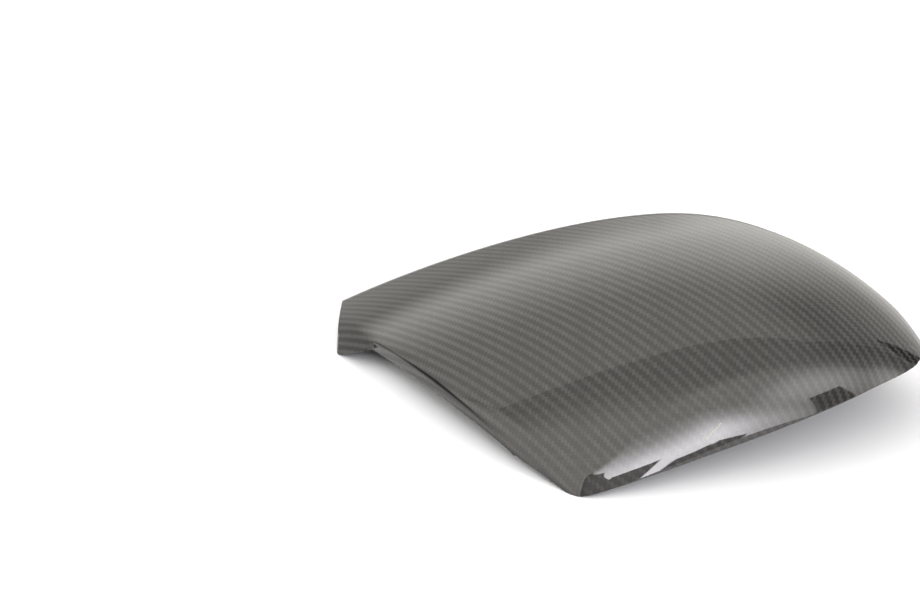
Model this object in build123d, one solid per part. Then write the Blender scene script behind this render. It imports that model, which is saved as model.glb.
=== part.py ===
from build123d import *
from math import radians, sin
import os

# Wing mirror cover: one thin moulded shell of woven cloth in clear resin.
# It lies convex side up.  X runs from the inboard end to the outboard end, Y from the near
# long edge to the far long edge, and Z is up.  The plan is drawn in millimetres about the
# near corner, and the finished shell is moved so that its origin is under its middle.

# Laminate, the roll of its edges, and the share of the inboard end that two rolls may fill
WALL = 1.6
ROLL_RADIUS = 16.0
END_SHARE = 0.9

# Crown patch: how far it reaches past the plan outline, and the heights of its control
# points.  The crest heights run from the inboard end to the outboard end, and the falls from
# the near side to the far side.
CROWN_MARGIN = 8.0
CREST_INBOARD_END = 9.3
CREST_INBOARD_SHOULDER = 39.2
CREST_INBOARD_FLANK = 55.7
CREST_TOP = 79.6
CREST_OUTBOARD_SHOULDER = 76.5
CREST_OUTBOARD_END = 31.4
NEAR_EDGE_FALL = 60.7
NEAR_OUTBOARD_FALL = 8.5
NEAR_SHOULDER_FALL = 14.2
FAR_SHOULDER_FALL = 12.5
FAR_EDGE_FALL = 14.8

# The inner face is the same patch moved down by the wall, and by this share of the wall away
# from the steep near side, which keeps the wall even.
NEAR_SIDE_SHIFT = 0.41

# Plan outline: corners in order round the shell, and the outward bow of the edge from that
# corner to the next.  The two tighter corners are rounded by the roll radius and an ease, so
# that the rolled edge can run round them.
NEAR_CORNER = (1.0, -4.0)
NEAR_CORNER_EASE = 2.0
NEAR_EDGE_BOW = 4.0
OUTBOARD_NEAR_CORNER = (152.0, 61.5)
OUTBOARD_NEAR_EASE = 6.0
OUTBOARD_EDGE_BOW = 2.0
OUTBOARD_FAR_CORNER = (135.5, 106.5)
OUTBOARD_FAR_RADIUS = 40.0
FAR_OUTBOARD_EDGE_BOW = 4.0
FAR_CORNER = (58.0, 169.5)
FAR_CORNER_RADIUS = 90.0
FAR_EDGE_BOW = 6.5
INBOARD_FAR_CORNER = (-122.8, 161.5)
HORN_CORNER = (-117.1, 111.6)
ARM_EDGE_BOW = 8.3

# The inboard end is trimmed open, straight across and this much inside its end wall.
END_TRIM = 1.5

# Rim of the outboard half: it rises off the ground in one plane, hinged on a line across
# the ground from the near corner to the far edge.
RIM_HINGE_NEAR = (-1.0, -1.0)
RIM_HINGE_FAR = (100.0, 165.0)
OUTBOARD_RIM_RISE = 34.5

# Edge on the mirror's arm: a creased flange set in behind the horn, and a low arched rim.
FLANGE_NOTCH = (-95.0, 90.5)
FLANGE_FADE = (-2.8, -4.6)
FLANGE_BOW = 3.8
NOTCH_RADIUS = 3.0
ARCH_START = 5.0
ARCH_END = 131.0
ARCH_END_HEIGHT = 10.0
ARCH_BOW = 6.5
HORN_FOOT = 151.0
ARCH_REACH = 22.0

# How far the cutting solids run past the shell
OVERRUN = 30.0


def crown_patch(inset):
    """The domed top, one patch whose control heights are a crest line less a cross fall."""
    crest = (
        CREST_INBOARD_END,
        CREST_INBOARD_SHOULDER,
        CREST_INBOARD_FLANK,
        CREST_TOP,
        CREST_OUTBOARD_SHOULDER,
        CREST_OUTBOARD_END,
    )
    plan = plan_outline().bounding_box()
    net = []
    for i, height in enumerate(crest):
        along = i / (len(crest) - 1)
        x = plan.min.X - CROWN_MARGIN + along * (plan.size.X + 2 * CROWN_MARGIN)
        near_fall = NEAR_EDGE_FALL + NEAR_OUTBOARD_FALL * along
        falls = (near_fall, NEAR_SHOULDER_FALL, 0.0, FAR_SHOULDER_FALL, FAR_EDGE_FALL)
        row = []
        for j, fall in enumerate(falls):
            across = j / (len(falls) - 1)
            y = plan.min.Y - CROWN_MARGIN + across * (plan.size.Y + 2 * CROWN_MARGIN)
            row.append(Vector(x, y, height - fall))
        net.append(row)
    patch = Face.make_bezier_surface(net)
    return Pos(0, inset * NEAR_SIDE_SHIFT, -inset) * patch


def roll_radius():
    """The edge roll, no wider than lets the far and arm rolls lie side by side at the end."""
    end = Vector(*INBOARD_FAR_CORNER) - Vector(*HORN_CORNER)
    arm = Vector(*HORN_CORNER) - Vector(*NEAR_CORNER)
    slant = sin(radians(end.get_angle(arm)))
    return min(ROLL_RADIUS, END_SHARE * end.length * slant / (1 + slant))


def plan_outline():
    """The outline seen from above, with bowed edges and rounded corners."""
    face = make_face(
        [
            SagittaArc(NEAR_CORNER, OUTBOARD_NEAR_CORNER, -NEAR_EDGE_BOW),
            SagittaArc(OUTBOARD_NEAR_CORNER, OUTBOARD_FAR_CORNER, -OUTBOARD_EDGE_BOW),
            SagittaArc(OUTBOARD_FAR_CORNER, FAR_CORNER, -FAR_OUTBOARD_EDGE_BOW),
            SagittaArc(FAR_CORNER, INBOARD_FAR_CORNER, -FAR_EDGE_BOW),
            Line(INBOARD_FAR_CORNER, HORN_CORNER),
            SagittaArc(HORN_CORNER, NEAR_CORNER, -ARM_EDGE_BOW),
        ]
    )
    roundings = (
        (NEAR_CORNER, roll_radius() + NEAR_CORNER_EASE),
        (OUTBOARD_NEAR_CORNER, roll_radius() + OUTBOARD_NEAR_EASE),
        (OUTBOARD_FAR_CORNER, OUTBOARD_FAR_RADIUS),
        (FAR_CORNER, FAR_CORNER_RADIUS),
    )
    for point, radius in roundings:
        corner = face.vertices().sort_by_distance(Vector(*point))[0]
        face = fillet(corner, radius)
    return face


def flange_cutter(inset):
    """What is cut away outside the creased flange, from the notch until it fades out."""
    along = Vector(*FLANGE_FADE) - Vector(*FLANGE_NOTCH)
    outward = Vector(along.Y, -along.X).normalized() * OVERRUN
    notch = Vector(*FLANGE_NOTCH)
    fade = Vector(*FLANGE_FADE)
    face = make_face(
        [
            SagittaArc(notch, fade, -FLANGE_BOW),
            Line(fade, fade + outward),
            Line(fade + outward, notch + outward),
            Line(notch + outward, notch),
        ]
    )
    corner = face.vertices().sort_by_distance(notch)[0]
    face = fillet(corner, NOTCH_RADIUS)
    if inset > 0:
        face = offset(face, inset)
    return extrude(Pos(0, 0, -OVERRUN) * face, amount=OVERRUN + CREST_TOP)


def cap_solid(inset):
    """The whole outer form, or the hollow inside it when inset is the wall."""
    face = plan_outline()
    if inset > 0:
        face = offset(face, -inset)
    prism = extrude(Pos(0, 0, -OVERRUN) * face, amount=OVERRUN + CREST_TOP)
    under_crown = extrude(crown_patch(inset), amount=OVERRUN + 2 * CREST_TOP, dir=(0, 0, -1))
    cap = (prism & under_crown).solid()
    crown = cap.faces().filter_by(GeomType.BEZIER)[0]
    rolled_edges = crown.edges().sort_by(Axis.X)[1:]
    cap = fillet(rolled_edges, roll_radius() - inset)
    return (cap - flange_cutter(inset)).solid()


def trim_plane():
    """The upright plane of the trimmed inboard end."""
    along = Vector(*INBOARD_FAR_CORNER) - Vector(*HORN_CORNER)
    inward = along.cross(Vector(0, 0, 1)).normalized()
    start = Vector(*HORN_CORNER) + inward * (WALL + END_TRIM)
    return Plane(origin=start, x_dir=along, z_dir=inward)


def rim_plane():
    """The plane of the raised outboard rim."""
    near = Vector(*RIM_HINGE_NEAR)
    far = Vector(*RIM_HINGE_FAR)
    raised = Vector(*OUTBOARD_NEAR_CORNER, OUTBOARD_RIM_RISE)
    hinge = far - near
    up = (raised - near).cross(hinge)
    return Plane(origin=near, x_dir=hinge, z_dir=up)


def arch_cutter():
    """The low arch under the flange, ending in the slope down to the foot of the horn."""
    along = Vector(*HORN_CORNER) - Vector(*NEAR_CORNER)
    side = Plane(origin=(0, 0, 0), x_dir=along, z_dir=along.cross(Vector(0, 0, 1)))
    profile = make_face(
        [
            SagittaArc((ARCH_START, 0), (ARCH_END, ARCH_END_HEIGHT), ARCH_BOW),
            Line((ARCH_END, ARCH_END_HEIGHT), (HORN_FOOT, 0)),
            Line((HORN_FOOT, 0), (HORN_FOOT, -OVERRUN)),
            Line((HORN_FOOT, -OVERRUN), (ARCH_START, -OVERRUN)),
            Line((ARCH_START, -OVERRUN), (ARCH_START, 0)),
        ]
    )
    return extrude(side * profile, amount=ARCH_REACH, both=True)


shell = cap_solid(0.0) - cap_solid(WALL)
for cut in (Plane.XY, trim_plane(), rim_plane()):
    shell = split(shell, bisect_by=cut, keep=Keep.TOP)
shell = (shell - arch_cutter()).solid()

box = shell.bounding_box()
middle = box.center()
mirror_cover = Pos(-middle.X, -middle.Y, -box.min.Z) * shell

os.makedirs("parts", exist_ok=True)
export_step(mirror_cover, "parts/mirror_cover.step")
print("cover", box.size, "volume", mirror_cover.volume)
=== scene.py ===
from math import acos, atan2, ceil, comb, cos, pi, radians, sin, sqrt, tan

import bmesh
import bpy
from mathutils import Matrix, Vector
from mathutils.geometry import intersect_sphere_sphere_2d


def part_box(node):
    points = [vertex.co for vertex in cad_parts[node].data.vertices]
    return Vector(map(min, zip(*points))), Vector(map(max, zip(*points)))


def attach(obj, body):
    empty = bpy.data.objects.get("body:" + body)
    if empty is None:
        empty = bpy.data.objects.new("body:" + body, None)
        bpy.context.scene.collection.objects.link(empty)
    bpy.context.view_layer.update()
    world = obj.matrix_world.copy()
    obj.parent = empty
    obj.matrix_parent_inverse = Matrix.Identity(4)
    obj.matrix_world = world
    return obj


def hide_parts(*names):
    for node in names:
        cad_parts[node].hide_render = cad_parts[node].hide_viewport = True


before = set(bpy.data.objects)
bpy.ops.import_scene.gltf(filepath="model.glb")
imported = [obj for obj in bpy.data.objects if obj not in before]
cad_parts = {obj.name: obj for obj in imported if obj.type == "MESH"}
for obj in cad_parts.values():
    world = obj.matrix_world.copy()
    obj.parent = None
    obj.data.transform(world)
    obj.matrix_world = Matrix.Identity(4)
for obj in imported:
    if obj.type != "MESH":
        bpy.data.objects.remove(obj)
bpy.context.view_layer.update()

# The shell: one moulding of woven cloth in clear resin, trimmed round its rim.  Its crown rolls
# over into the sides, and a creased flange runs along the edge on the mirror's arm.
# The plan is drawn in millimetres about the near corner, counter-clockwise seen from above.
MM = 0.001
WALL = 1.6
HORN_CORNER = Vector((-117.1, 111.6))
NEAR_CORNER = Vector((1.0, -4.0))
OUTBOARD_NEAR_CORNER = Vector((152.0, 61.5))
OUTBOARD_FAR_CORNER = Vector((135.5, 106.5))
FAR_CORNER = Vector((58.0, 169.5))
INBOARD_FAR_CORNER = Vector((-122.8, 161.5))
ARM_BOW = 8.3
NEAR_BOW = 4.0
OUTBOARD_BOW = 2.0
FAR_OUTBOARD_BOW = 4.0
FAR_BOW = 6.5

# Roundings of the near, outboard near, outboard far and far corners
CORNER_RADII = (18.0, 22.0, 40.0, 90.0)

# The arm and far edges run on past the inboard end, which is sawn off later.  The open end between
# them counts as one more length of the outline.
ARM_RUN_ON = 25.0
FAR_RUN_ON = 20.0
OPEN_END_LENGTH = 24.0


def bowed_edge(start, end, bow):
    """Centre and radius of an edge that bulges to the right of the way from start to end."""
    chord = end - start
    right = Vector((chord.y, -chord.x)).normalized()
    radius = (chord.length_squared / 4 + bow * bow) / (2 * bow)
    return (start + end) / 2 - right * (radius - bow), radius


def bearing(centre, point):
    """Direction of a point from a centre, as an angle."""
    return atan2(point.y - centre.y, point.x - centre.x)


def plan_spans():
    """The outline as arcs of centre, radius, first angle and sweep, with rounded corners."""
    corners = (
        HORN_CORNER,
        NEAR_CORNER,
        OUTBOARD_NEAR_CORNER,
        OUTBOARD_FAR_CORNER,
        FAR_CORNER,
        INBOARD_FAR_CORNER,
    )
    bows = (ARM_BOW, NEAR_BOW, OUTBOARD_BOW, FAR_OUTBOARD_BOW, FAR_BOW)
    edges = []
    for start, end, bow in zip(corners, corners[1:], bows):
        edges.append(bowed_edge(start, end, bow))
    arcs = []
    first = bearing(edges[0][0], HORN_CORNER) - ARM_RUN_ON / edges[0][1]
    for index, radius in enumerate(CORNER_RADII):
        before, before_radius = edges[index]
        after, after_radius = edges[index + 1]
        found = intersect_sphere_sphere_2d(
            before, before_radius - radius, after, after_radius - radius
        )
        middle = min(found, key=lambda point: (point - corners[index + 1]).length)
        leave = bearing(before, middle)
        join = bearing(after, middle)
        arcs.append((before, before_radius, first, (leave - first) % (2 * pi)))
        arcs.append((middle, radius, leave, (join - leave) % (2 * pi)))
        first = join
    centre, radius = edges[-1]
    last = bearing(centre, INBOARD_FAR_CORNER) + FAR_RUN_ON / radius
    arcs.append((centre, radius, first, (last - first) % (2 * pi)))
    return arcs


SPANS = plan_spans()
ROUND_LENGTH = sum(radius * sweep for _, radius, _, sweep in SPANS)
OUTLINE_LENGTH = ROUND_LENGTH + OPEN_END_LENGTH


def outline_at(length):
    """Point and inward direction at a length round the outline."""
    for centre, radius, first, sweep in SPANS:
        if length <= radius * sweep:
            break
        length -= radius * sweep
    angle = first + length / radius
    outward = Vector((cos(angle), sin(angle)))
    return centre + outward * radius, -outward


# The roll over the edge is wide along the near edge, and the side flares out under it at the horn.
# Each stop is the index of an arc of the outline, a share of its length, and the value there.
ROLL_STOPS = (
    (0, 0.0, 16.0),
    (2, 0.0, 16.0),
    (2, 0.35, 33.0),
    (2, 0.8, 36.0),
    (3, 0.0, 19.0),
    (6, 0.0, 16.0),
    (8, 1.0, 16.0),
)
FLARE_STOPS = (
    (0, 0.0, radians(34.0)),
    (0, 0.3, radians(34.0)),
    (0, 0.6, 0.0),
    (8, 1.0, 0.0),
)


def along_outline(length, stops):
    """Value of some stops at a length round the outline, with smooth steps between them."""
    lengths = [radius * sweep for _, radius, _, sweep in SPANS]
    places = [sum(lengths[:index]) + share * lengths[index] for index, share, _ in stops]
    values = [value for _, _, value in stops]
    for low, high, start, end in zip(places, places[1:], values, values[1:]):
        if length <= high:
            break
    share = min(1.0, (length - low) / (high - low))
    return start + (end - start) * share * share * (3 - 2 * share)


# The crown is one smooth patch over the plan: a crest line along it, less a fall to either side.
# The inner face is the same patch a wall lower, and a little further from the steep near side.
CROWN_LOW = Vector((-130.8, -10.18))
CROWN_SIZE = Vector((287.29, 190.79))
CREST_HEIGHTS = (9.3, 39.2, 55.7, 79.6, 76.5, 31.4)
NEAR_EDGE_FALL = 60.7
NEAR_OUTBOARD_FALL = 8.5
NEAR_SHOULDER_FALL = 14.2
FAR_SHOULDER_FALL = 12.5
FAR_EDGE_FALL = 14.8
NEAR_SIDE_SHIFT = 0.41
SLOPE_STEP = 0.05


def patch_weight(order, index, share):
    """Weight of one control height of the patch."""
    return comb(order, index) * share**index * (1 - share) ** (order - index)


def crown_height(plan, inset):
    """Height of the crown, or of the face that lies inset from it, over a point of the plan."""
    along = (plan.x - CROWN_LOW.x) / CROWN_SIZE.x
    across = (plan.y - inset * NEAR_SIDE_SHIFT - CROWN_LOW.y) / CROWN_SIZE.y
    near_fall = NEAR_EDGE_FALL + NEAR_OUTBOARD_FALL * along
    falls = (near_fall, NEAR_SHOULDER_FALL, 0.0, FAR_SHOULDER_FALL, FAR_EDGE_FALL)
    height = -inset
    for index, crest in enumerate(CREST_HEIGHTS):
        height += patch_weight(len(CREST_HEIGHTS) - 1, index, along) * crest
    for index, fall in enumerate(falls):
        height -= patch_weight(len(falls) - 1, index, across) * fall
    return height


def crown_normal(plan, inset):
    """Outward direction of that face over a point of the plan."""
    right = Vector((SLOPE_STEP, 0))
    ahead = Vector((0, SLOPE_STEP))
    slope_x = crown_height(plan + right, inset) - crown_height(plan - right, inset)
    slope_y = crown_height(plan + ahead, inset) - crown_height(plan - ahead, inset)
    return Vector((-slope_x, -slope_y, 2 * SLOPE_STEP)).normalized()


# The rim: the inboard end is trimmed straight across, the outboard half rises in one plane, and a
# low arch runs under the arm edge.  The flange is set in from that edge, behind the horn's notch.
END_TRIM = 3.1
RIM_HINGE_NEAR = Vector((-1.0, -1.0))
RIM_HINGE_FAR = Vector((100.0, 165.0))
OUTBOARD_RIM_RISE = 34.5
FLANGE_NOTCH = Vector((-95.0, 90.5))
FLANGE_FADE = Vector((-2.8, -4.6))
FLANGE_BOW = 3.8
NOTCH_RADIUS = 3.0
ARCH_START = Vector((5.0, 0.0))
ARCH_END = Vector((131.0, 10.0))
ARCH_BOW = 6.5
HORN_FOOT = 151.0
ARCH_REACH = 22.0


def cross_flat(first, second):
    """Signed area between two directions of the plan."""
    return first.x * second.y - first.y * second.x


def outside_flange(plan, inset):
    """Whether a point of the plan is outside the flange, between the notch and where it fades."""
    chord = FLANGE_FADE - FLANGE_NOTCH
    forward = chord.normalized()
    from_notch = plan - FLANGE_NOTCH
    along = from_notch.dot(forward)
    radius = (chord.length_squared / 4 + FLANGE_BOW**2) / (2 * FLANGE_BOW)
    rise = radius - FLANGE_BOW - cross_flat(forward, from_notch)
    place = Vector((along - chord.length / 2, rise))
    corner_x = NOTCH_RADIUS - chord.length / 2
    corner = Vector((corner_x, sqrt((radius + NOTCH_RADIUS) ** 2 - corner_x**2)))
    from_corner = place - corner
    if from_corner.y < 0 and cross_flat(corner, from_corner) > 0:
        return from_corner.length < NOTCH_RADIUS + inset
    return -inset < along < chord.length + inset and place.length > radius - inset


def rim_height(plan):
    """Height of the rim over a point of the plan."""
    hinge = RIM_HINGE_FAR - RIM_HINGE_NEAR
    share = cross_flat(plan - RIM_HINGE_NEAR, hinge)
    share /= cross_flat(OUTBOARD_NEAR_CORNER - RIM_HINGE_NEAR, hinge)
    height = max(0.0, share * OUTBOARD_RIM_RISE)
    arm = (HORN_CORNER - NEAR_CORNER).normalized()
    along = plan.dot(arm)
    if abs(cross_flat(arm, plan)) > ARCH_REACH:
        return height
    if ARCH_START.x < along < ARCH_END.x:
        centre, radius = bowed_edge(ARCH_END, ARCH_START, ARCH_BOW)
        return max(height, centre.y + sqrt(radius**2 - (along - centre.x) ** 2))
    if ARCH_END.x <= along < HORN_FOOT:
        return max(height, ARCH_END.y * (HORN_FOOT - along) / (HORN_FOOT - ARCH_END.x))
    return height


# Each profile runs out from a middle point over the crown, round the roll and down the side.
# A place on it is a number: 0 to 1 on the crown, 1 to 2 on the roll, and 2 to 3 on the side.
MIDDLE = Vector((10.0, 85.0))
SIDE_DEPTH = 2.0
EDGE_SHARE = 0.05
CONTACT_ROUNDS = 30
SEARCH_START = 0.3
SEARCH_STEP = 0.01
HALVINGS = 20


class Profile:
    """One profile of the outer face, or of the face that lies inset from it."""

    def __init__(self, length, inset):
        self.length = length
        self.inset = inset
        self.kind = None
        if length <= ROUND_LENGTH:
            self.edge, self.inward = outline_at(length)
            self.roll(along_outline(length, ROLL_STOPS), along_outline(length, FLARE_STOPS))
            self.end, self.kind = self.trim()
        else:
            share = (length - ROUND_LENGTH) / OPEN_END_LENGTH
            far = Profile(ROUND_LENGTH, inset).contact
            arm = Profile(0.0, inset).contact
            self.contact = far.lerp(arm, share)
            self.inward = (MIDDLE - self.contact).normalized()
            self.end = 1.0 + EDGE_SHARE
            self.kind = "open"

    def roll(self, outer_radius, flare):
        """Seats a ball of the roll's radius between the crown and the side."""
        self.flare = flare
        self.radius = outer_radius - self.inset
        seat = self.edge + self.inward * outer_radius
        contact = seat
        for _ in range(CONTACT_ROUNDS):
            contact = seat + crown_normal(contact, self.inset).xy * self.radius
        normal = crown_normal(contact, self.inset)
        self.contact = contact
        self.ball = Vector((*seat, crown_height(contact, self.inset) - normal.z * self.radius))
        self.outward = Vector((*-self.inward, 0.0))
        self.turn = acos(normal.dot(self.outward))
        self.lean = (normal - self.outward * normal.dot(self.outward)).normalized()

    def at(self, place):
        """Point of the uncut profile."""
        if place <= 1 or self.kind == "open":
            plan = MIDDLE.lerp(self.contact, place)
            return Vector((*plan, crown_height(plan, self.inset)))
        angle = self.flare + (self.turn - self.flare) * max(0.0, 2 - place)
        arm = self.outward * cos(angle) + self.lean * sin(angle)
        point = self.ball + arm * self.radius
        if place > 2:
            drop = (place - 2) * (point.z + SIDE_DEPTH)
            point += self.outward * drop * tan(self.flare)
            point.z -= drop
        return point

    def cut_at(self, place):
        """What cuts the shell away at a place, if anything does."""
        point = self.at(place)
        if outside_flange(point.xy, self.inset):
            return "flange"
        if point.z < rim_height(point.xy):
            return "rim"
        return None

    def trim(self):
        """The first place where the profile is cut, and what cuts it."""
        place = SEARCH_START
        while not self.cut_at(place):
            place += SEARCH_STEP
        low = place - SEARCH_STEP
        high = place
        for _ in range(HALVINGS):
            middle = (low + high) / 2
            if self.cut_at(middle):
                high = middle
            else:
                low = middle
        return low, self.cut_at(high)


# Profiles stand close together all round, closer by the notch, and in a pair wherever what cuts
# them changes, which gives the notch its corner.
PROFILE_GAP = 1.6
NOTCH_GAP = 0.25
NOTCH_STRETCH = 5.0
PAIR_GAP = 0.002
CLOSEST_GAP = 0.1


def change_pairs(lengths, inset):
    """Lengths on either side of each change in what cuts the profiles, and what cuts them then."""
    kinds = [Profile(length, inset).kind for length in lengths]
    pairs = []
    for low, high, before, after in zip(lengths, lengths[1:], kinds, kinds[1:]):
        if before == after or "open" in (before, after):
            continue
        while high - low > PAIR_GAP:
            middle = (low + high) / 2
            if Profile(middle, inset).kind == before:
                low = middle
            else:
                high = middle
        pairs.append((low, high, after))
    return pairs


PROFILE_COUNT = ceil(OUTLINE_LENGTH / PROFILE_GAP)
EVEN_LENGTHS = [OUTLINE_LENGTH * index / PROFILE_COUNT for index in range(PROFILE_COUNT + 1)]
CHANGES = {inset: change_pairs(EVEN_LENGTHS, inset) for inset in (0.0, WALL)}


def profile_lengths():
    """Lengths round the outline at which profiles stand, from the start round to the start."""
    kept = []
    between = []
    for low, high, after in CHANGES[0.0] + CHANGES[WALL]:
        kept += [low, high]
        if after == "flange":
            steps = range(1, int(NOTCH_STRETCH / NOTCH_GAP))
            between += [high + NOTCH_GAP * step for step in steps]
    for length in sorted(EVEN_LENGTHS + between):
        if min(abs(length - other) for other in kept) > CLOSEST_GAP:
            kept.append(length)
    return sorted(kept)


# Rings of points on each profile: over the crown, round the edge, over the crease and down the
# side.  The cut rim is rounded on both faces, each rounding at most a third of its width.
CROWN_RINGS = 44
EDGE_RINGS = 14
CREASE_RINGS = 4
SIDE_RINGS = 6
FIRST_RING_SHARE = 0.1
KNEE_SHARE = 0.7
CREASE_RADIUS = 0.6
RIM_ROUNDING = 0.35
RIM_PARTS = 3
RIM_RINGS = 3
FLANGE_EASE = 30.0


def spread(low, high, count):
    """Values evenly spaced after low, up to and with high."""
    return [low + (high - low) * (index + 1) / count for index in range(count)]


def rounded(before, corner, after, radius, count):
    """Points round a corner between two others, with both ends of the rounding."""
    start = corner + (before - corner).normalized() * radius
    finish = corner + (after - corner).normalized() * radius
    points = [start]
    for share in spread(0.0, 1.0, count):
        points.append(start.lerp(corner, share).lerp(corner.lerp(finish, share), share))
    return points


def ring_stops(profile):
    """Where on a profile the rings of the crown end, and where those of the edge end."""
    crown_end = min(1.0, profile.end - EDGE_SHARE)
    if profile.kind == "flange":
        width = (profile.at(profile.end) - profile.at(profile.end - EDGE_SHARE)).length
        return Vector((crown_end, profile.end - EDGE_SHARE * CREASE_RADIUS / width))
    return Vector((crown_end, min(2.0, crown_end + KNEE_SHARE * (profile.end - crown_end))))


def flange_ends(inset):
    """The first and last profiles of the flange."""
    ends = []
    for low, high, after in CHANGES[inset]:
        ends.append(Profile(high if after == "flange" else low, inset))
    return ends


FLANGE_ENDS = {inset: flange_ends(inset) for inset in CHANGES}


def eased_stops(profile):
    """The same stops, drawn towards those of the flange beside it so that the rings meet."""
    stops = ring_stops(profile)
    if profile.kind != "rim":
        return stops
    end = min(FLANGE_ENDS[profile.inset], key=lambda other: abs(other.length - profile.length))
    ease = min(1.0, abs(end.length - profile.length) / FLANGE_EASE)
    return ring_stops(end).lerp(stops, ease)


def face_points(profile):
    """Points of one trimmed profile from the middle to the rim, each with its place on the cloth."""
    crown_end, knee = eased_stops(profile)
    first = crown_end * FIRST_RING_SHARE
    places = [0.0, first]
    places += spread(first, crown_end, CROWN_RINGS - 1)
    places += spread(crown_end, knee, EDGE_RINGS)
    side = []
    if profile.kind == "flange":
        corner = profile.at(profile.end)
        back = profile.at(profile.end - EDGE_SHARE)
        foot = Vector((*corner.xy, rim_height(corner.xy)))
        side = rounded(back, corner, foot, CREASE_RADIUS, CREASE_RINGS)[1:]
        side += [side[-1].lerp(foot, share) for share in spread(0.0, 1.0, SIDE_RINGS)]
    else:
        places += spread(knee, profile.end, CREASE_RINGS + SIDE_RINGS)
    points = [profile.at(place) for place in places] + side
    on_crown = sum(place <= 1 for place in places)
    ray = (profile.contact - MIDDLE).normalized()
    cloth = [MIDDLE.copy()]
    for ring in range(1, len(points)):
        heading = ray if ring < on_crown else -profile.inward
        cloth.append(cloth[-1] + heading * (points[ring] - points[ring - 1]).length)
    return points, cloth


# A dark line of painted shade runs along the crease, strongest part of the way from the notch.
# Away from there the line is narrower and fainter.
CREASE_SHADE_MIDDLE = 52.0
CREASE_SHADE_REACH = 40.0
CREASE_SHADE_WIDTH = 1.1
CREASE_SHADE_LEAST_WIDTH = 0.3
CREASE_SHADE_GAIN = 2.0


def resin(points, profile):
    """How dark the painted shade along the crease is at each point of a profile."""
    if profile.kind != "flange":
        return [0.0] * len(points)
    corner = profile.at(profile.end)
    along = (corner.xy - FLANGE_NOTCH).length
    strength = max(0.0, 1.0 - abs(along - CREASE_SHADE_MIDDLE) / CREASE_SHADE_REACH)
    width = CREASE_SHADE_WIDTH * (CREASE_SHADE_LEAST_WIDTH + (1.0 - CREASE_SHADE_LEAST_WIDTH) * strength)
    shares = [max(0.0, 1.0 - (point - corner).length / width) for point in points]
    return [min(1.0, CREASE_SHADE_GAIN * strength * share) for share in shares]


def shell_points(length):
    """One profile all the way over the outer face, round the rim and back over the inner face."""
    outside = Profile(length, 0.0)
    outer, outer_cloth = face_points(outside)
    inner, inner_cloth = face_points(Profile(length, WALL))
    across = (inner[-1] - outer[-1]).length
    radius = min(RIM_ROUNDING, across / RIM_PARTS)
    leaving = rounded(outer[-2], outer[-1], inner[-1], radius, RIM_RINGS)
    entering = rounded(inner[-2], inner[-1], outer[-1], radius, RIM_RINGS)
    points = outer[:-1] + leaving + entering[::-1] + inner[-2::-1]
    cloth = outer_cloth[:-1] + [outer_cloth[-1]] * len(leaving)
    cloth += [inner_cloth[-1]] * len(entering) + inner_cloth[-2::-1]
    return points, cloth, resin(points, outside)


# The mesh is a grid of rings and profiles, closed round the middle, with one material slot for
# each of its outer face, its inner face and its cut rim.
MERGE_GAP = 0.004
SHARP_ANGLE = radians(40)
OUTSIDE_RINGS = CROWN_RINGS + EDGE_RINGS + CREASE_RINGS + SIDE_RINGS
RIM_STEPS = 2 * RIM_RINGS + 1
OUTER_SLOT = 0
INNER_SLOT = 1
RIM_SLOT = 2


def surface_slot(ring):
    """Material slot of the faces that follow a ring."""
    if ring < OUTSIDE_RINGS:
        return OUTER_SLOT
    if ring < OUTSIDE_RINGS + RIM_STEPS:
        return RIM_SLOT
    return INNER_SLOT


def shell_mesh():
    """The whole shell as one mesh, with its map on the cloth and its painted crease shade."""
    profiles = [shell_points(length) for length in profile_lengths()]
    rings = len(profiles[0][0]) - 1
    rounds = len(profiles) - 1
    shell = bmesh.new()
    bmesh.ops.create_grid(shell, x_segments=rings, y_segments=rounds, size=1.0)
    # Painted shade along the crease, kept for each point.
    crease_shade_layer = shell.verts.layers.float.new("resin")
    where = {}
    for vert in shell.verts:
        ring = round((vert.co.x + 1) / 2 * rings)
        turn = round((vert.co.y + 1) / 2 * rounds)
        where[vert] = (turn, ring)
    cloth_map = shell.loops.layers.uv.new("cloth")
    for face in shell.faces:
        face.smooth = True
        face.material_index = surface_slot(min(where[vert][1] for vert in face.verts))
        for loop in face.loops:
            turn, ring = where[loop.vert]
            loop[cloth_map].uv = profiles[turn][1][ring] * MM
    for vert, (turn, ring) in where.items():
        vert.co = profiles[turn][0][ring] * MM
        vert[crease_shade_layer] = profiles[turn][2][ring]
    return shell


shell = shell_mesh()
bmesh.ops.remove_doubles(shell, verts=shell.verts, dist=MERGE_GAP * MM)

# The inboard end is sawn off straight across.
end_edge = (INBOARD_FAR_CORNER - HORN_CORNER).normalized()
end_inward = Vector((end_edge.y, -end_edge.x))
bmesh.ops.bisect_plane(
    shell,
    geom=shell.verts[:] + shell.edges[:] + shell.faces[:],
    plane_co=Vector((*(HORN_CORNER + end_inward * END_TRIM), 0.0)) * MM,
    plane_no=Vector((*-end_inward, 0.0)),
    clear_outer=True,
)
sawn_edges = [edge for edge in shell.edges if edge.is_boundary]
sawn = bmesh.ops.holes_fill(shell, edges=sawn_edges, sides=0)
for face in sawn["faces"]:
    face.material_index = RIM_SLOT
for edge in shell.edges:
    edge.smooth = edge.calc_face_angle(0.0) < SHARP_ANGLE

# The plan's middle goes over the middle of the solid that the shell stands for.
solid_low, solid_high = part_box("mirror_cover")
plan_low = Vector(min(vert.co[axis] for vert in shell.verts) for axis in range(3))
plan_high = Vector(max(vert.co[axis] for vert in shell.verts) for axis in range(3))
shift = (solid_low + solid_high - plan_low - plan_high) / 2
shift.z = solid_low.z - plan_low.z
bmesh.ops.translate(shell, verts=shell.verts, vec=shift)


def placed(name, built):
    """A new object of the scene, at the origin, with a built mesh."""
    mesh = bpy.data.meshes.new(name)
    built.to_mesh(mesh)
    built.free()
    made = bpy.data.objects.new(name, mesh)
    bpy.context.scene.collection.objects.link(made)
    return made


cover = placed("cover_shell", shell)


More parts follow.
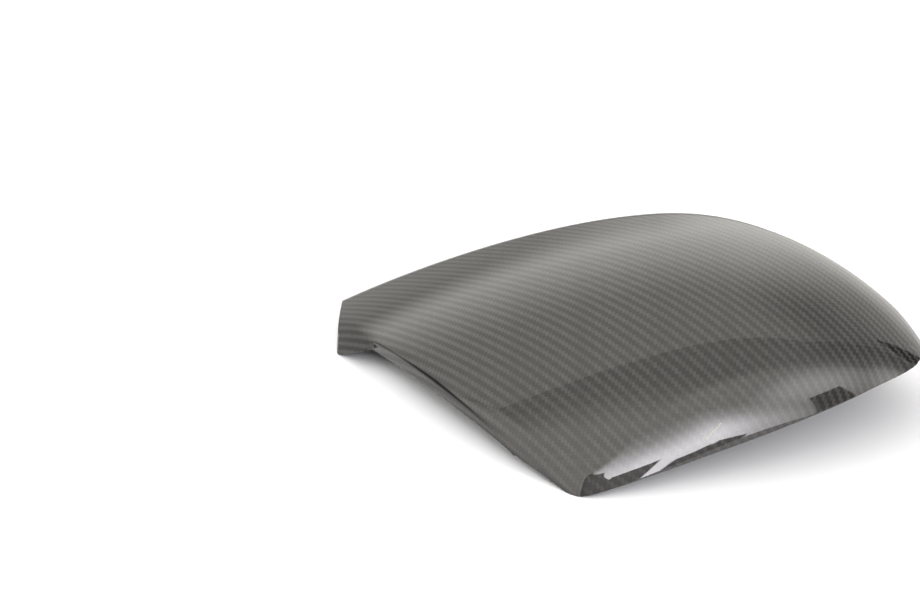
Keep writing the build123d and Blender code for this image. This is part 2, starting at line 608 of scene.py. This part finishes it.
class Signal:
    """A socket of a node tree; arithmetic on it adds Math nodes."""

    def __init__(self, tree, socket=None):
        self.tree = tree
        self.socket = socket

    def node(self, kind, settings=None, inputs=None, output=0):
        """Adds a node, with its settings first and then the values or links of its sockets."""
        made = self.tree.nodes.new(kind)
        for name, value in (settings or {}).items():
            if name == "stops":
                self.set_stops(made.color_ramp, value)
            else:
                setattr(made, name, value)
        for name, value in (inputs or {}).items():
            if isinstance(value, Signal):
                self.tree.links.new(value.socket, made.inputs[name])
            else:
                made.inputs[name].default_value = value
        return Signal(self.tree, made.outputs[output] if made.outputs else None)

    def set_stops(self, ramp, stops):
        """Sets a ramp's stops, each a position and a colour."""
        while len(ramp.elements) < len(stops):
            ramp.elements.new(1.0)
        for element, (position, colour) in zip(ramp.elements, stops):
            element.position = position
            element.color = colour

    def math(self, operation, *values):
        """Adds a Math node that works on some values."""
        return self.node("ShaderNodeMath", {"operation": operation}, dict(enumerate(values)))

    def __add__(self, other):
        return self.math("ADD", self, other)

    __radd__ = __add__

    def __mul__(self, other):
        return self.math("MULTIPLY", self, other)

    __rmul__ = __mul__

    def __sub__(self, other):
        return self.math("SUBTRACT", self, other)

    def __rsub__(self, other):
        return self.math("SUBTRACT", other, self)

    def __truediv__(self, other):
        return self.math("DIVIDE", self, other)

    def __mod__(self, other):
        return self.math("FLOORED_MODULO", self, other)


def empty_material(name):
    """A material with an empty node tree, and a signal to add nodes to it."""
    material = bpy.data.materials.new(name)
    material.use_nodes = True
    material.node_tree.nodes.clear()
    return material, Signal(material.node_tree)


def axis_of(vector, axis):
    """One axis of a vector."""
    return vector.node("ShaderNodeSeparateXYZ", None, {"Vector": vector}, output=axis)


# Colour sockets of a Mix node, which share their names with its other sockets
MIX_FIRST = 6
MIX_SECOND = 7
MIX_RESULT = 2


def mixed(start, factor, first, second):
    """A colour between two, by a factor."""
    return start.node(
        "ShaderNodeMix",
        {"data_type": "RGBA"},
        {"Factor": factor, MIX_FIRST: first, MIX_SECOND: second},
        output=MIX_RESULT,
    )


# Weave: a 2/2 twill.  Each tow passes over two and under two, one step on in each next tow, so its
# floats make diagonal ribs.  Painted sheen: crosswise floats are darker, most of all where they are
# seen aslant.  Painted shade darkens the grooves between the tows.
TOW_PITCH = 1.41
FLOAT_TOWS = 2
CROSSWISE_PAINTED_SHEEN = 0.7
CROSSWISE_SHEEN_FADE = 1.15
TOW_VARIATION = 0.3
FIBRE_VARIATION = 0.25
FIBRES_ACROSS = 9.0
FIBRE_LENGTH = 0.35
GROOVE_SHADE = 0.3


def twill(start):
    """Height of the cloth, and the tone of its tows with painted sheen and painted groove shade."""
    cloth = start.node("ShaderNodeUVMap", {"uv_map": "cloth"})
    across_cloth = axis_of(cloth, "X") / (TOW_PITCH * MM)
    along_cloth = axis_of(cloth, "Y") / (TOW_PITCH * MM)
    column = across_cloth.math("FLOOR", across_cloth)
    row = along_cloth.math("FLOOR", along_cloth)
    column_share = across_cloth - column
    row_share = along_cloth - row
    step = (column + row) % (2 * FLOAT_TOWS)
    lengthwise = step.math("LESS_THAN", step, FLOAT_TOWS - 0.5)
    crosswise = 1.0 - lengthwise
    along = (step + row_share) * lengthwise + (step - FLOAT_TOWS + column_share) * crosswise
    across = column_share * lengthwise + row_share * crosswise
    arch = along.math("SINE", along * (pi / FLOAT_TOWS))
    off_middle = across * 2.0 - 1.0
    section = 1.0 - off_middle * off_middle
    height = section.math("SQRT", arch * section)
    tow = column * lengthwise - row * crosswise
    lot = start.node("ShaderNodeTexWhiteNoise", {"noise_dimensions": "1D"}, {"W": tow})
    run = along_cloth * lengthwise + across_cloth * crosswise
    width = across_cloth * lengthwise + along_cloth * crosswise
    strand = start.node(
        "ShaderNodeCombineXYZ",
        None,
        {"X": run * FIBRE_LENGTH, "Y": width * FIBRES_ACROSS, "Z": lengthwise},
    )
    fibre = start.node("ShaderNodeTexNoise", None, {"Vector": strand, "Scale": 1.0, "Detail": 1.0})
    # Painted sheen: crosswise floats are darker than lengthwise ones, more so where seen aslant.
    slant = start.node("ShaderNodeLayerWeight", None, {"Blend": 0.5}, output="Facing")
    crosswise_sheen = slant.math("MAXIMUM", CROSSWISE_PAINTED_SHEEN - slant * CROSSWISE_SHEEN_FADE, 0.0)
    tone_and_sheen = lengthwise + crosswise * crosswise_sheen
    tone_and_sheen = tone_and_sheen * (1.0 + (lot - 0.5) * TOW_VARIATION) * (1.0 + (fibre - 0.5) * FIBRE_VARIATION)
    # Painted shade in the grooves between the tows.
    return height, tone_and_sheen * (1.0 - (1.0 - height) * GROOVE_SHADE)


# Wear: a long scratch through the clear coat low on the near side, and a faint one beside it, each
# from its start to its end with its depth.
SCRATCHES = (
    (Vector((34.5, -70.4, 17.6)), Vector((40.7, -65.8, 23.3)), 0.45),
    (Vector((34.6, -69.1, 18.8)), Vector((37.6, -66.5, 22.2)), 0.2),
)
SCRATCH_WIDTH = 0.45
SCRATCH_COLOUR = (0.30, 0.28, 0.19, 1.0)


def fall(value, full, none):
    """One up to the first value, none from the second on, and smooth between."""
    return value.node(
        "ShaderNodeMapRange",
        {"interpolation_type": "SMOOTHSTEP"},
        {"Value": value, "From Min": full, "From Max": none, "To Min": 1.0, "To Max": 0.0},
    )


def vector_math(start, operation, inputs, output=0):
    """A Vector Math node."""
    return start.node("ShaderNodeVectorMath", {"operation": operation}, inputs, output)


def scratched(start):
    """How deep the scratches are at each place."""
    place = start.node("ShaderNodeTexCoord", output="Object")
    depth = 0.0
    for first, last, strength in SCRATCHES:
        run = (last - first) * MM
        ahead = run.normalized()
        arm = vector_math(start, "SUBTRACT", {0: place, 1: first * MM})
        along = vector_math(start, "DOT_PRODUCT", {0: arm, 1: ahead}, "Value")
        along = along.math("MINIMUM", along.math("MAXIMUM", along, 0.0), run.length)
        foot = vector_math(start, "SCALE", {0: ahead, "Scale": along})
        gap = vector_math(start, "DISTANCE", {0: arm, 1: foot}, "Value")
        depth = depth + fall(gap, 0.0, SCRATCH_WIDTH * MM) * strength
    return depth


# Finish: the cloth lies under a polished coat on the outside and a satin film on the inside, and
# the cut rim is dull.  The painted crease shade and the scratches take most of the coat's gloss.
WEAVE_DARK = (0.006, 0.006, 0.006, 1.0)
WEAVE_LIGHT = (0.039, 0.0366, 0.0352, 1.0)
WEAVE_DEPTH = 0.12
WEAVE_ROUGHNESS = 0.5
WEAVE_METALLIC = 0.2
COATED_BUMP = 0.4
BARE_BUMP = 1.0
COAT_ROUGHNESS = 0.01
COAT_IOR = 1.5
CREASE_SHADE_DULLING = 0.8
SCRATCH_DULLING = 0.7
RIM_DARK = (0.02, 0.02, 0.02, 1.0)
RIM_LIGHT = (0.06, 0.06, 0.058, 1.0)
RIM_ROUGHNESS = 0.4
RIM_GRAIN = 2500.0
RIM_GRAIN_DETAIL = 3.0


def weave_bump(start, height, strength):
    """The relief of the cloth."""
    return start.node(
        "ShaderNodeBump",
        None,
        {"Height": height, "Distance": WEAVE_DEPTH * MM, "Strength": strength},
    )


def finish_material(start, inputs):
    """Ends a material with a shader of some inputs."""
    surface = start.node("ShaderNodeBsdfPrincipled", None, inputs)
    start.node("ShaderNodeOutputMaterial", None, {"Surface": surface})


def coated_weave():
    """The outside: cloth seen through a polished clear coat, with painted crease shade, painted
    sheen and wear.
    """
    material, start = empty_material("coated_weave")
    height, tone_and_sheen = twill(start)
    # Painted shade along the crease darkens the cloth and dulls the coat there.
    crease_shading = start.node("ShaderNodeAttribute", {"attribute_name": "resin"}, output="Fac")
    worn = scratched(start)
    cloth_colour = mixed(start, tone_and_sheen * (1.0 - crease_shading), WEAVE_DARK, WEAVE_LIGHT)
    finish_material(
        start,
        {
            "Base Color": mixed(start, worn, cloth_colour, SCRATCH_COLOUR),
            "Metallic": WEAVE_METALLIC,
            "Roughness": WEAVE_ROUGHNESS,
            "Specular IOR Level": 0.0,
            "Normal": weave_bump(start, height, COATED_BUMP),
            "Coat Weight": (1.0 - crease_shading * CREASE_SHADE_DULLING) * (1.0 - worn * SCRATCH_DULLING),
            "Coat Roughness": COAT_ROUGHNESS,
            "Coat IOR": COAT_IOR,
        },
    )
    return material


def bare_weave():
    """The inside: the same cloth as it came off the bag, with a thin satin film of resin."""
    material, start = empty_material("bare_weave")
    height, tone_and_sheen = twill(start)
    finish_material(
        start,
        {
            "Base Color": mixed(start, tone_and_sheen, WEAVE_DARK, WEAVE_LIGHT),
            "Roughness": WEAVE_ROUGHNESS,
            "Normal": weave_bump(start, height, BARE_BUMP),
        },
    )
    return material


def trimmed_edge():
    """The rim: cut laminate, rubbed smooth."""
    material, start = empty_material("trimmed_edge")
    place = start.node("ShaderNodeTexCoord", output="Object")
    grain = start.node(
        "ShaderNodeTexNoise",
        None,
        {"Vector": place, "Scale": RIM_GRAIN, "Detail": RIM_GRAIN_DETAIL},
    )
    colour = mixed(start, grain, RIM_DARK, RIM_LIGHT)
    finish_material(start, {"Base Color": colour, "Roughness": RIM_ROUGHNESS})
    return material


for material in (coated_weave(), bare_weave(), trimmed_edge()):
    cover.data.materials.append(material)
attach(cover, "root")
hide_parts("mirror_cover")

# The floor: a plain pale sheet under the cover.
# It reaches far past the picture on every side.
FLOOR_SIZE = 6.0
FLOOR_COLOUR = (0.575, 0.583, 0.605, 1.0)
FLOOR_ROUGHNESS = 0.7

ground = bmesh.new()
bmesh.ops.create_grid(ground, x_segments=1, y_segments=1, size=FLOOR_SIZE / 2)
floor = placed("floor", ground)
floor_paint, paint = empty_material("floor_paint")
finish_material(paint, {"Base Color": FLOOR_COLOUR, "Roughness": FLOOR_ROUGHNESS})
floor.data.materials.append(floor_paint)

# The light: a pale tent all round.  A darker strip hangs overhead, the far side and the right side
# darken towards the ground, a long bright window stands on the camera's right with a fainter one
# beside it, and dark cards stand before them.  All angles are in degrees.
TENT_COLOUR = (1.90, 1.86, 1.76)
WINDOW_COLOUR = (12.4, 12.2, 12.9)
SIDE_WINDOW_COLOUR = (2.4, 2.35, 2.45)
TENT_HEIGHTS = (
    (0.0, 1.14),
    (74.0, 1.14),
    (90.0, 0.92),
    (130.0, 0.81),
    (150.0, 1.08),
    (180.0, 1.08),
)
STRIP_FADE = (74.0, 88.0)
STRIP_EDGE = 102.0
STRIP_TILT = 22.0
STRIP_BLUR = 0.4
STRIP_KEEP = 0.6
FAR_FADE = (7.0, 19.0)
FAR_TILT = 38.0
FAR_LEFT_TILT = 8.0
FAR_KEEP = 0.32
FAR_REACH = (0.15, 0.5)
RIGHT_BEARING = 124.0
RIGHT_FADE = (18.0, 46.0)
RIGHT_TOP = (44.0, 66.0)
RIGHT_FOOT = (8.0, 20.0)
RIGHT_KEEP = 0.48
WINDOW_TILT = 36.0
WINDOW_HEIGHTS = (
    (0.0, 1.0),
    (38.0, 1.0),
    (44.0, 0.85),
    (50.0, 0.52),
    (56.0, 0.2),
    (64.0, 0.0),
)
WINDOW_BEARINGS = (
    (-29.0, 0.0),
    (-13.0, 0.75),
    (16.0, 0.85),
    (23.0, 1.0),
    (34.0, 1.0),
    (44.0, 0.40),
    (57.0, 0.0),
)
SIDE_WINDOW_BEARING = 60.0
SIDE_WINDOW_HEIGHT = 33.0
SIDE_WINDOW_FADE = (3.0, 25.0)

# Soft light takes more from the left of the tent and less from the long window.
LEFT_FILL = 1.8
WINDOW_SOFT_SHARE = 0.15

# Each card has a bearing, half its width, the height of its top at the middle, and the slope of
# its top, which falls to the right where it is positive.
CARDS = (
    (-15.5, 11.5, 52.5, 0.5),
    (3.5, 8.5, 37.4, 1.25),
    (21.0, 10.5, 24.0, 0.6),
    (38.5, 3.7, 5.5, 0.8),
    (61.3, 5.8, 22.0, -0.35),
    (125.0, 7.0, 31.0, 0.0),
)
CARD_KEEP = 0.04
CARD_BLUR = 0.8
DEGREES = 180.0 / pi


def level(angle, stops):
    """A strength that follows stops of angle and strength, from half a turn back to half on."""
    shades = []
    for stop, strength in stops:
        shades.append(((stop + 180.0) / 360.0, (strength, strength, strength, 1.0)))
    return angle.node("ShaderNodeValToRGB", {"stops": shades}, {"Fac": (angle + 180.0) / 360.0})


def tinted(start, colour, strength):
    """A colour times a strength."""
    return vector_math(start, "SCALE", {0: colour, "Scale": strength})


def dimmed(light, where, keep):
    """A light that keeps only a share of itself where something darkens it."""
    return light * (1.0 - where * (1.0 - keep))


studio = bpy.data.worlds.new("studio")
studio.use_nodes = True
studio.node_tree.nodes.clear()
sky = Signal(studio.node_tree)
direction = sky.node("ShaderNodeTexCoord", output="Generated")
rightward = axis_of(direction, "X")
towards = 0.0 - axis_of(direction, "Y")
upward = axis_of(direction, "Z")
over = upward.math("ARCTAN2", upward, towards) * DEGREES
side = rightward.math("ARCTAN2", rightward, towards) * DEGREES
elevation = upward.math("ARCSINE", upward) * DEGREES
on_right = rightward.math("MAXIMUM", rightward, 0.0)
on_left = rightward.math("MINIMUM", rightward, 0.0)

past_edge = over - rightward * STRIP_TILT
in_strip = (1.0 - fall(over, *STRIP_FADE)) * fall(past_edge, STRIP_EDGE - STRIP_BLUR, STRIP_EDGE)
far_height = elevation + on_right * FAR_TILT + on_left * FAR_LEFT_TILT
far_low = fall(far_height, *FAR_FADE) * fall(towards, *FAR_REACH)
off_right = side.math("ABSOLUTE", side - RIGHT_BEARING)
at_right = fall(off_right, *RIGHT_FADE) * fall(elevation, *RIGHT_TOP)
at_right = at_right * (1.0 - fall(elevation, *RIGHT_FOOT))
tent = dimmed(level(over, TENT_HEIGHTS), in_strip, STRIP_KEEP)
tent = dimmed(tent, far_low, FAR_KEEP)
tent = dimmed(tent, at_right, RIGHT_KEEP)

window = level(over + rightward * WINDOW_TILT, WINDOW_HEIGHTS) * level(side, WINDOW_BEARINGS)
soft_ray = sky.node("ShaderNodeLightPath", output="Is Diffuse Ray")
tent = tent * (1.0 - soft_ray * on_left * LEFT_FILL)
window = dimmed(window, soft_ray, WINDOW_SOFT_SHARE)

off_side_window = side - SIDE_WINDOW_BEARING
over_side_window = elevation - SIDE_WINDOW_HEIGHT
from_side_window = side.math(
    "SQRT", off_side_window * off_side_window + over_side_window * over_side_window
)
side_window = fall(from_side_window, *SIDE_WINDOW_FADE)

glow = tinted(sky, TENT_COLOUR, tent)
for colour, strength in ((WINDOW_COLOUR, window), (SIDE_WINDOW_COLOUR, side_window)):
    glow = vector_math(sky, "ADD", {0: glow, 1: tinted(sky, colour, strength)})
for card_bearing, half_width, card_height, slope in CARDS:
    off_card = side - card_bearing
    hidden = fall(side.math("ABSOLUTE", off_card), half_width - CARD_BLUR, half_width)
    hidden = hidden * fall(elevation + off_card * slope, card_height - CARD_BLUR, card_height)
    glow = tinted(sky, glow, 1.0 - hidden * (1.0 - CARD_KEEP))
background = sky.node("ShaderNodeBackground", None, {"Color": glow, "Strength": 1.0})
sky.node("ShaderNodeOutputWorld", None, {"Surface": background})
bpy.context.scene.world = studio
bpy.context.scene.view_settings.view_transform = "Standard"

# The camera: at the photograph's viewing angle.
# The cover fills the right of the picture, and the outboard tip reaches its edge.
CAMERA_PLACE = (-0.02302, -0.49097, 0.2866)
CAMERA_TURN = (radians(63.0), 0.0, radians(5.0))
CAMERA_LENS = 50.0

camera_data = bpy.data.cameras.new("camera")
camera_data.lens = CAMERA_LENS
camera = bpy.data.objects.new("camera", camera_data)
camera.location = CAMERA_PLACE
camera.rotation_euler = CAMERA_TURN
bpy.context.scene.collection.objects.link(camera)
bpy.context.scene.camera = camera
